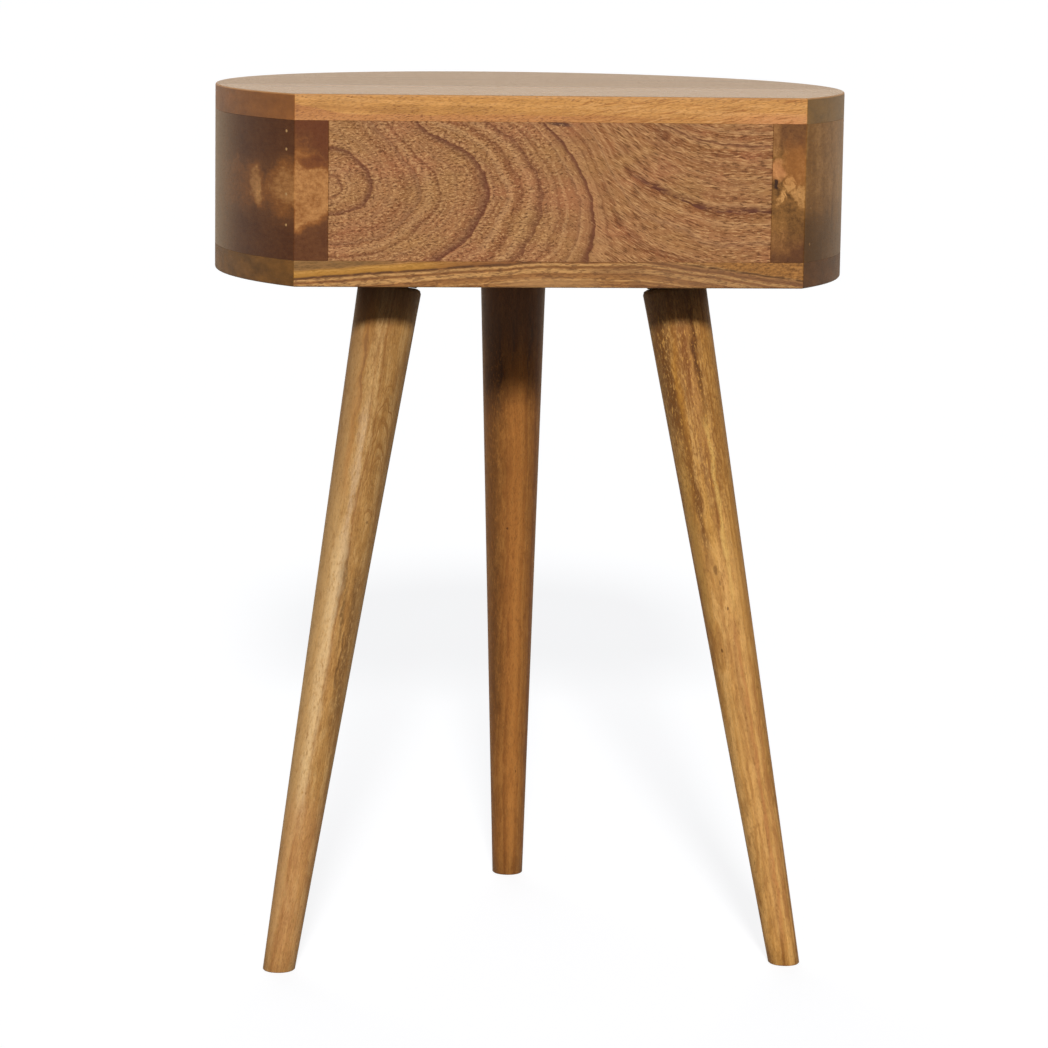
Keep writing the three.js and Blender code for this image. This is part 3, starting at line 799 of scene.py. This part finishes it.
# Drawer
# A box of raw pale hardwood behind a curved, lacquered front that closes flush with the walls. The
# half-moon cut in the front's upper edge is the handle; dowels and pins hold the box together.
front_low, front_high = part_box("drawer_front")
front_thickness = 18 * mm
front_easing = 1.2 * mm
end_gap = 2 * mm
notch_half = 45 * mm
notch_depth = 22 * mm
notch_radius = (notch_half ** 2 + notch_depth ** 2) / (2 * notch_depth)
notch_z = front_high.z - notch_depth + notch_radius
notch_steps = 26
wing_steps = 34


def front_top(x):
    """Height of the front's upper edge."""
    if abs(x) >= notch_half:
        return front_high.z
    return notch_z - math.sqrt(notch_radius ** 2 - x ** 2)


def drawer_front():
    """Curved like the walls, in upright slices from the left end to the right."""
    end_bearing = mouth_bearing - end_gap / round_radius
    back_radius = round_radius - front_thickness
    notch_angle = math.asin(notch_half / notch_radius)
    middle = [
        notch_radius * math.sin(notch_angle * (2 * step / notch_steps - 1)) for step in range(notch_steps + 1)
    ]
    outer_end = round_radius * math.sin(end_bearing)
    inner_end = back_radius * math.sin(end_bearing)
    wing = [(step + 1) / wing_steps for step in range(wing_steps)]
    slices = [(x, x) for x in middle]
    for share in wing:
        pair = [notch_half + (end - notch_half) * share for end in (outer_end, inner_end)]
        slices.append(tuple(pair))
        slices.insert(0, (-pair[0], -pair[1]))
    rows = []
    for outer, inner in slices:
        outer_y = centre_y - math.sqrt(round_radius ** 2 - outer ** 2)
        inner_y = centre_y - math.sqrt(back_radius ** 2 - inner ** 2)
        height = front_top(outer)
        rows.append((
            (outer, outer_y, front_low.z), (outer, outer_y, height),
            (inner, inner_y, height), (inner, inner_y, front_low.z),
        ))
    mesh = bmesh.new()
    skin(mesh, rows)
    piece = mesh_piece("drawer_front_wood", mesh)
    ease_edges(piece, front_easing, 30)
    return piece


def drawer_wood():
    finish = new_finish("drawer_wood")
    along, z, radius = place = wall_place(finish)[:3]
    arch = ((along + 30) / 95) ** 2
    ring = z + 11 * arch + 0.3 * radius + wavy(place, 12, length=90, width=26, seed=7)
    tones = ((146, 96, 54), (184, 131, 80), (204, 153, 100))
    colour, pores, fibres = timber(ring, place, tones, 5.5, 4.7, fibre=(14, 0.7), swing=0.5)
    flecks = dashes(place, 5, 0.7, 0.52, 0.64, 3)
    colour = blend(0.35 * flecks, colour, tone(128, 78, 42))
    return satin(colour, pores, fibres)


fit(drawer_front(), drawer_wood(), "drawer", "drawer_wood", "drawer_front")

box_tones = ((178, 138, 90), (204, 166, 116), (216, 184, 138))
lengthwise_wood = raw_wood("lengthwise_box_wood", (1, 2, 0), box_tones, 2.5)
crosswise_wood = raw_wood("crosswise_box_wood", (0, 2, 1), box_tones, 6.5)
bottom_sheet_wood = raw_wood("bottom_sheet_wood", (0, 1, 2), box_tones, 9.5)
dowel_along_wood = raw_wood("dowel_along_wood", (1, 2, 0), dowel_tones, 4.5)
dress("drawer_back", crosswise_wood, 0.6 * mm)
dress("drawer_bottom", bottom_sheet_wood, 0.3 * mm)
for side in ("right", "left"):
    dress(f"drawer_{side}_side", lengthwise_wood, 0.6 * mm)
    for level in ("upper", "lower"):
        dress(f"drawer_{side}_{level}_dowel", dowel_along_wood)
        dress(f"drawer_{side}_{level}_pin", zinc)

# Drawer guides and stops
# Strips of the same raw wood, glued to the bottom board beside the drawer, steer it; two blocks
# behind it stop it where its front is flush.
for side in ("right", "left"):
    dress(f"{side}_drawer_guide", lengthwise_wood, 0.8 * mm)
    dress(f"{side}_drawer_stop", crosswise_wood, 0.8 * mm)

# Legs
# Three legs turned from solid hardwood, tapering to the foot, with a rounded shoulder at the top.
# Each screws onto the hanger bolt of its plate, and its foot is sawn level with the floor.
underside_z = bottom_low.z
hub_height = 6.6 * mm
leg_sides = 72
leg_rings = 24
shoulder = 3 * mm
leg_easing = 0.3 * mm
foot_easing = 0.7 * mm
legs = {
    "leg_back_right": dict(x=90.2, y=76, heading=30, splay=10.6, top=40.2, foot=20.2),
    "leg_back_left": dict(x=-88.2, y=76, heading=150, splay=11.2, top=40.6, foot=19.8),
    "leg_front": dict(x=0, y=-44, heading=-97.5, splay=11.3, top=43.4, foot=20.8),
}


def leg_frame(name):
    """Top middle of a leg, its axis upwards, and two directions square to that axis: right and back.

    legs gives its place and its thickness at both ends in mm, and where it leans in degrees."""
    leg = legs[name]
    turn = math.radians(leg["heading"])
    tilt = math.radians(leg["splay"])
    out = Vector((math.cos(turn), math.sin(turn), 0))
    axis = Vector((0, 0, math.cos(tilt))) - out * math.sin(tilt)
    root = Vector((leg["x"] * mm, leg["y"] * mm, underside_z - hub_height))
    right = Vector((0, 1, 0)).cross(axis).normalized()
    return root + out * hub_height * math.tan(tilt), axis, right, axis.cross(right)


def turned_leg(name):
    top, axis, right, back = leg_frame(name)
    top_radius, foot_radius = [legs[name][end] / 2 * mm for end in ("top", "foot")]
    length = top.z / axis.z

    def point(share, angle, inset, lift):
        """A point of the leg: share 0 is its top and 1 the floor, met along the leg's own slope."""
        spoke = right * math.cos(angle) + back * math.sin(angle)
        upper = top + spoke * (top_radius - inset)
        slope = spoke * (foot_radius - top_radius) - axis * length
        return upper + slope * (upper.z / -slope.z * share) + axis * lift

    stations = [(0, shoulder, 0), (0, shoulder * 0.3, -shoulder * 0.3), (0, 0, -shoulder)]
    stations += [(step / leg_rings, 0, 0) for step in range(1, leg_rings)]
    stations += [(1, 0, foot_easing), (1, foot_easing, 0)]
    mesh = bmesh.new()
    skin(mesh, [
        [point(share, angle, inset, lift) for angle in round_angles(leg_sides)]
        for share, inset, lift in stations
    ])
    piece = mesh_piece(f"{name}_turned", mesh)
    ease_edges(piece, leg_easing, 60)
    return piece


def leg_wood(name, tones, streaks, knots, arch, mottle, painted_shadow, seed):
    """Straight-grained leg wood. Lengths run down the leg, in mm from its top, and angles go round it
    in degrees, 0 at the back and positive to the right.

    Streaks are (angle, half width, start, end, strength, red, green, blue), knots (length, angle,
    size, strength) and the arch (angle, length); some streaks are painted light and shade: lit and
    shaded sides, a sheen and the edge of the painted shadow. The mottle is the strength and light
    colour of small flecks, and painted_shadow the lengths between which the painted shadow of the
    case on the leg's top fades out."""
    finish = new_finish(f"{name}_wood")
    top, axis, right, back = leg_frame(name)
    point = finish.node("ShaderNodeTexCoord", None, None, "Object")
    offset = finish.vector_work("SUBTRACT", {0: point, 1: top})
    place = down, across, depth = [
        1 / mm * finish.vector_work("DOT_PRODUCT", {0: offset, 1: way}, "Value")
        for way in (-axis, right, back)
    ]
    angle = across.work("ARCTAN2", depth) * math.degrees(1)
    angle = angle + wavy(place, 26, length=16, width=6, seed=seed)
    ring = across + 0.5 * depth + wavy(place, 9, length=90, width=26, seed=seed)
    cores = []
    for length, bearing, size, strength in knots:
        below, beside = down - length, angle - bearing
        ring = ring + 3 * spot(below, beside, 26, 26)
        cores.append((strength * spot(below, beside, size, size * 2.1, 0.2), 78, 44, 22))
    colour, pores, fibres = timber(ring, place, tones, 6.5, seed, fibre=(9, 0.9), swing=0.5)
    blotch = along_grain(place, 15, 4.4, seed, roughness=0.62)
    colour = stained(
        colour,
        (0.65 * rise(blotch, 0.5, 0.66), *tones[0]),
        (0.55 * rise(blotch, 0.48, 0.34), *tones[2]),
    )
    cloud = along_grain(place, 26, 7, seed)
    speckle = along_grain(place, 1.6, 0.8, seed, detail=2, roughness=0.7)
    colour = shaded(colour, 0.47 + 0.5 * cloud + 0.58 * speckle + 0.14 * rise(down, 60, 260))
    arch_angle, arch_start = arch
    bow = down - 0.05 * (angle - arch_angle) ** 2
    bows = rise(noise_line(bow / 7 + seed, detail=3, roughness=0.6), 0.5, 0.36)
    bows = bows * spot(angle - arch_angle, down - arch_start - 40, 34, 60, 0.3)
    colour = stained(colour, (0.85 * bows * rise(bow, arch_start - 3, arch_start), *tones[0]))
    worms = along_grain(place, 3.6, 1.3, seed, detail=3, roughness=0.65)
    for bearing, half, start, end, strength, *shade in streaks:
        inside = rise(abs(angle - bearing), 1.2 * half, 0.1 * half)
        inside = inside * rise(down, start - 16, start + 16) * rise(down, end + 22, end - 22)
        colour = stained(colour, (strength * inside * rise(worms, 0.22, 0.56), *shade))
    fleck_strength, *fleck_shade = mottle
    flecked = fleck_strength * rise(down, 190, 110)
    # Painted shadow: the top of the leg, under the case, is dulled towards a dark grey brown that fades out
    # down the leg and stands in for the case's shadow.
    dull = rise(down + wavy(place, 16, length=60, width=5), *reversed(painted_shadow))
    colour = stained(
        colour,
        (flecked * rise(worms, 0.5, 0.62), *tones[0]),
        (0.85 * flecked * rise(worms, 0.44, 0.32), *fleck_shade),
        *cores,
        (0.6 * dull, 92, 72, 60),
    )
    return satin(colour, pores, fibres, 0.4, 0.13)


leg_looks = {
    "leg_back_right": dict(
        tones=((146, 100, 50), (174, 129, 72), (192, 150, 94)),
        # Painted light and shade: the broad light streak at 56 and the dark one at -60 degrees are the leg's
        # lit and shaded sides, and the pale streak at 13 degrees is a painted sheen down its lit face.
        streaks=(
            (34, 12, 15, 130, 0.7, 176, 116, 56), (31, 5, 25, 80, 0.8, 112, 66, 34),
            (13, 10, 80, 235, 0.5, 218, 184, 142), (56, 34, 30, 420, 0.6, 204, 160, 104),
            (-60, 26, 30, 420, 0.5, 138, 96, 52), (9, 7, 165, 215, 0.5, 104, 84, 62),
            (2, 4, 172, 200, 0.8, 112, 82, 46), (-9, 5, 192, 228, 0.8, 104, 72, 38),
            (-21, 5, 218, 262, 0.85, 96, 62, 32), (-34, 16, 180, 285, 0.8, 118, 80, 42),
            (22, 20, 160, 340, 0.75, 226, 188, 134), (0, 120, 330, 460, 0.4, 192, 134, 84),
        ),
        knots=((150, -30, 1.4, 0.5),),
        arch=(-29, 61), mottle=(0.15, 206, 164, 110), painted_shadow=(4, 28), seed=2.3,
    ),
    "leg_back_left": dict(
        tones=((142, 92, 42), (182, 130, 66), (206, 156, 90)),
        # Painted shade: the dark streak at 50 degrees near the top is the leg's shaded side.
        streaks=(
            (50, 31, 14, 98, 0.9, 96, 54, 24), (38, 13, 104, 130, 0.6, 112, 68, 30),
            (29, 12, 116, 172, 0.85, 104, 60, 25), (58, 20, 106, 215, 0.7, 196, 148, 76),
            (29, 9, 38, 90, 0.45, 222, 156, 62), (8, 19, 16, 78, 0.8, 124, 70, 28),
            (5, 7, 106, 144, 0.75, 116, 68, 27), (12, 12, 124, 196, 0.4, 214, 160, 76),
            (-3, 6, 34, 100, 0.4, 222, 164, 92), (-29, 10, 78, 132, 0.6, 128, 78, 32),
            (-12, 8, 86, 205, 0.7, 236, 190, 106), (-13, 9, 12, 76, 0.9, 78, 42, 22),
            (-52, 26, 30, 330, 0.6, 194, 138, 66), (2, 60, 170, 420, 0.4, 220, 166, 98),
            (-8, 7, 225, 420, 0.5, 180, 112, 62), (17, 6, 185, 420, 0.5, 156, 102, 50),
            (-34, 14, 250, 420, 0.5, 164, 104, 56),
        ),
        knots=((182, 16, 4.2, 0.5), (190.5, 11, 2.4, 0.45), (207.5, 2.5, 1.5, 0.7), (233.7, 32, 1.6, 0.7)),
        arch=(-50, 250), mottle=(0.65, 218, 158, 74), painted_shadow=(4, 28), seed=4.6,
    ),
    "leg_front": dict(
        tones=((122, 74, 33), (143, 92, 43), (158, 106, 52)),
        # Painted light and shade: the dark streak at 48 and the light one at -6 degrees are the leg's shaded
        # side and lit face, and the dark streaks near the top at 40, 31, 3 and -28 degrees are the ragged
        # lower edge of its painted shadow.
        streaks=(
            (48, 26, 30, 330, 0.6, 92, 58, 30), (40, 32, 46, 92, 0.55, 66, 42, 28),
            (31, 6, 34, 90, 0.8, 58, 36, 28), (3, 4, 30, 72, 0.8, 54, 34, 28),
            (-28, 6, 24, 78, 0.75, 62, 38, 28), (14, 8, 120, 300, 0.5, 120, 68, 32),
            (-6, 26, 60, 420, 0.65, 182, 118, 56),
        ),
        knots=((178.4, 13.5, 1.2, 0.8), (359.3, -14.1, 1.3, 0.8)),
        arch=(-150, 120), mottle=(0.35, 168, 112, 54), painted_shadow=(30, 70), seed=6.9,
    ),
}
for name, look in leg_looks.items():
    fit(turned_leg(name), leg_wood(name, **look), "case", "leg_wood", name)

# Leg plates
# Each leg has a black painted steel plate: a flat flange screwed up into the bottom board, with a
# slanted hub welded on that the leg's top closes against, round the hanger bolt it turns onto.
plate_half = 29 * mm
plate_corner = 7 * mm
plate_thickness = 2.5 * mm
plate_easing = 0.5 * mm
corner_steps = 8
hub_radius = 17 * mm
hub_gap = 0.3 * mm
hub_length = 9.4 * mm
hub_sides = 48
bead_radius = 1.2 * mm
bead_sides = 8
bead_ripples = 19
bead_swing_share = 0.12
plate_corners = ((1, 1), (-1, 1), (-1, -1), (1, -1))


def plate_frame(name):
    leg = legs[name]
    place = Matrix.Translation((leg["x"] * mm, leg["y"] * mm, underside_z))
    return place @ Matrix.Rotation(math.radians(leg["heading"]), 4, "Z")


def flange(name):
    inner = plate_half - plate_corner
    outline = []
    for turn, (across, away) in enumerate(plate_corners):
        for step in range(corner_steps + 1):
            angle = math.pi / 2 * (turn + step / corner_steps)
            spoke = (plate_corner * math.cos(angle), plate_corner * math.sin(angle))
            outline.append((across * inner + spoke[0], away * inner + spoke[1]))
    piece = board(f"{name}_flange", outline, -plate_thickness, 0, plate_easing, plate_easing, 0)
    piece.matrix_world = plate_frame(name)
    return piece


def hub(name):
    """The slanted hub, and the weld bead where it meets the flange."""
    top, axis, right, back = leg_frame(name)
    hub_profile = (
        (hub_radius - plate_easing, hub_gap), (hub_radius, hub_gap + plate_easing), (hub_radius, hub_length),
    )
    mesh = bmesh.new()
    upright = Matrix((right, back, axis)).transposed().to_4x4()
    lathe(mesh, hub_profile, hub_sides, Matrix.Translation(top) @ upright)
    bead = []
    for angle in round_angles(hub_sides):
        spoke = right * math.cos(angle) + back * math.sin(angle)
        foot = top + spoke * hub_radius
        seam = foot + axis * ((underside_z - plate_thickness - foot.z) / axis.z)
        size = bead_radius * (1 + bead_swing_share * math.sin(bead_ripples * angle))
        away = Vector((spoke.x, spoke.y, 0)).normalized() * size
        lower = Vector((0, 0, -size))
        bead.append([
            seam + away * math.cos(part) + lower * math.sin(part) for part in round_angles(bead_sides)
        ])
    skin(mesh, bead, looped=True)
    return mesh_piece(f"{name}_hub", mesh)


black = steel("black_steel", tone(44, 44, 46), 0.46, 0, 0.7)
for name in legs:
    fit(flange(name), black, "case", "black_steel", f"{name}_plate")
    fit(hub(name), black, "case", "black_steel", f"{name}_plate")
    dress(f"{name}_bolt", zinc)

# Plate screws
# Four zinc-plated pan head screws with a cross recess hold each flange, driven up from below. Each
# is one skin over rows of points, from its tip to the bottom of its recess.
screw_spot = 21 * mm
head_seat = -2.8 * mm
head_radius = 3.75 * mm
head_height = 2 * mm
pan_shares = ((1, 0), (1, 0.35), (0.9, 0.7), (0.74, 0.94), (0.64, 1))
shank_radius = 2 * mm
shank_tip = 10.5 * mm
tip_radius = 0.2 * mm
point_length = 3 * mm
recess_reach = 2.1 * mm
recess_half = 0.5 * mm
recess_depth = 1.1 * mm
recess_taper_share = 0.8
flank_angles = (0.45, 0.62)
screw_easing = 0.08 * mm


def recess_edge(angle):
    """How far the cross recess reaches at an angle."""
    turn = (angle + math.pi / 4) % (math.pi / 2) - math.pi / 4
    side = recess_half / max(abs(math.sin(turn)), 1e-6)
    return min(recess_reach / math.cos(turn), side)


def plate_screw():
    """A screw with its points close together where the recess has its corners."""
    key = math.atan(recess_half / recess_reach)
    far_flank = [math.pi / 2 - angle for angle in reversed(flank_angles)]
    quarter = (-key, 0, key, *flank_angles, math.pi / 4, *far_flank)
    angles = [turn * math.pi / 2 + part for turn in range(4) for part in quarter]
    profile = [(tip_radius, shank_tip), (shank_radius, shank_tip - point_length), (shank_radius, head_seat)]
    profile += [(head_radius * out, head_seat - head_height * down) for out, down in pan_shares]
    outlines = [([radius] * len(angles), height) for radius, height in profile]
    top = head_seat - head_height
    for shrink, height in ((1, top), (recess_taper_share, top + recess_depth)):
        outlines.append(([shrink * recess_edge(angle) for angle in angles], height))
    mesh = bmesh.new()
    skin(mesh, [
        [(reach * math.cos(angle), reach * math.sin(angle), height) for reach, angle in zip(reaches, angles)]
        for reaches, height in outlines
    ])
    piece = mesh_piece("plate_screw", mesh)
    piece.data.materials.append(zinc)
    ease_edges(piece, screw_easing, 40)
    return piece


pattern = plate_screw()
for name in legs:
    for number, (across, away) in enumerate(plate_corners, start=1):
        screw = pattern.copy()
        screw.name = f"{name}_screw_{number}"
        bpy.context.scene.collection.objects.link(screw)
        seat = Matrix.Translation((across * screw_spot, away * screw_spot, 0))
        screw.matrix_world = plate_frame(name) @ seat
        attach(screw, "case")
        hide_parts(f"{name}_plate_screw_{number}")
bpy.data.objects.remove(pattern)

# Floor, light and camera
# A plain pale floor and soft studio light: a key light behind the camera, and a wide fill from the
# drawer's side so that the front isn't in the dark.
floor_radius = 40
floor_sides = 96
floor_grey = 0.25
floor_glow = 0.84
glow_in_gloss = 0.8
white = (1, 1, 1, 1)
floor_mesh = bmesh.new()
bmesh.ops.create_circle(floor_mesh, cap_ends=True, segments=floor_sides, radius=floor_radius)
floor = mesh_piece("floor", floor_mesh)


def pale_floor():
    """Pale, and plain white to the camera and in reflections where no shadow falls."""
    finish = new_finish("pale_floor")
    seen, mirrored = finish.sight()
    plain = finish.node("ShaderNodeBsdfDiffuse", None, {"Color": (floor_grey, floor_grey, floor_grey, 1)})
    tint = blend(mirrored, white, (1, 0.88, 0.66, 1))
    strength = (seen + mirrored * glow_in_gloss) * floor_glow
    glow = finish.node("ShaderNodeEmission", None, {"Color": tint, "Strength": strength})
    return finish.closed(finish.node("ShaderNodeAddShader", None, {0: plain, 1: glow}))


floor.data.materials.append(pale_floor())


def lamp(name, bearing, height, strength, spread, mirrored):
    """A distant lamp, placed in degrees; bearing 0 is behind the piece (+Y), and 90 to its right (+X)."""
    light = bpy.data.lights.new(name, "SUN")
    light.energy = strength
    light.angle = math.radians(spread)
    holder = add_object(name, light)
    turn, tilt = math.radians(bearing), math.radians(height)
    way = Vector((math.sin(turn) * math.cos(tilt), math.cos(turn) * math.cos(tilt), math.sin(tilt)))
    holder.rotation_euler = way.to_track_quat("Z", "Y").to_euler()
    holder.visible_glossy = mirrored


lamp("key_light", bearing=5, height=24, strength=3.05, spread=5.5, mirrored=True)
lamp("front_fill", bearing=178, height=10, strength=2.6, spread=50, mirrored=False)


def surroundings():
    """White to the camera, softer in reflections, and a low even light on the piece."""
    studio = Finish(bpy.data.worlds.new("studio"))
    seen, mirrored = studio.sight()
    strength = 0.1 + 0.9 * seen + 0.75 * mirrored
    colour = blend(mirrored, (0.82, 0.95, 1.4, 1), (1.06, 0.95, 0.8, 1))
    colour = blend(seen, colour, white)
    background = studio.node("ShaderNodeBackground", None, {"Color": colour, "Strength": strength})
    return studio.closed(background, "ShaderNodeOutputWorld")


bpy.context.scene.world = surroundings()

camera_place = Vector((0.2922, 2.5948, 0.6787))
camera_right = Vector((-0.99367, 0.11133, 0.01475))
camera_up = Vector((-0.00285, -0.15631, 0.98770))
camera_data = bpy.data.cameras.new("photo_camera")
camera_data.lens = 138.01
camera_data.sensor_width = 36
camera = add_object("photo_camera", camera_data)
camera_turn = Matrix((camera_right, camera_up, camera_right.cross(camera_up))).transposed()
camera.matrix_world = Matrix.Translation(camera_place) @ camera_turn.to_4x4()
bpy.context.scene.camera = camera

bpy.context.scene.view_settings.view_transform = "Standard"
